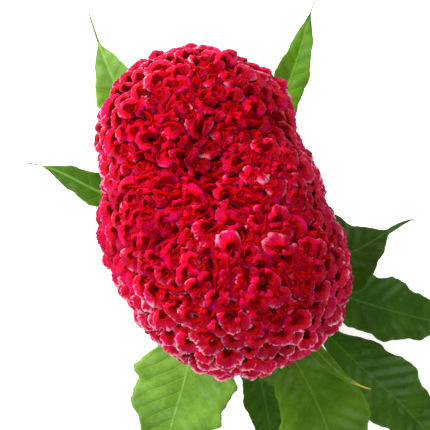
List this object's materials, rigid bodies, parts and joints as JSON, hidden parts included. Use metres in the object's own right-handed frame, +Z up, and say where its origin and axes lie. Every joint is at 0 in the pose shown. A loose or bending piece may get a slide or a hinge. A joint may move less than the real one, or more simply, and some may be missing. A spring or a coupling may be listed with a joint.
{
  "type": "potted cockscomb",
  "caption": "Potted cockscomb: one dense, tightly folded red crest on a ribbed stem that widens into a flat fan, over drawn-out wavy green leaves, in a plain clay pot with a rim band",
  "frame": {"origin": "centre of the pot's flat base, where it rests", "axes": "+Z up along the pot's axis, +Y towards the top of the picture, +X to its right"},
  "size_m": [0.2519, 0.2917, 0.3256],
  "materials": {
    "clay": "matte unglazed terracotta",
    "soil": "loose dark bark and peat potting mix",
    "stem": "ribbed reddish green stem",
    "crest": "velvety crimson with pale pink fringes",
    "fresh_leaf": "satin light green leaf",
    "leaf": "satin mid green leaf",
    "dark_leaf": "satin dark green leaf"
  },
  "bodies": {
    "root": {"pot": "clay", "soil": "soil", "stem": "stem", "flower_head": "crest", "leaf_upper_left": "fresh_leaf", "leaf_left": "leaf", "leaf_upper_right": "leaf", "leaf_right_curl": "dark_leaf", "leaf_young": "leaf", "leaf_right_broad": "dark_leaf", "leaf_right_low": "dark_leaf", "leaf_low_mid": "leaf", "leaf_low_dark": "dark_leaf", "leaf_low_left": "fresh_leaf", "leaf_back_left": "dark_leaf", "leaf_back": "leaf", "leaf_back_right": "dark_leaf", "leaf_side_left": "leaf", "leaf_low_back": "dark_leaf", "leaf_low_side": "dark_leaf"}
  },
  "joints": []
}
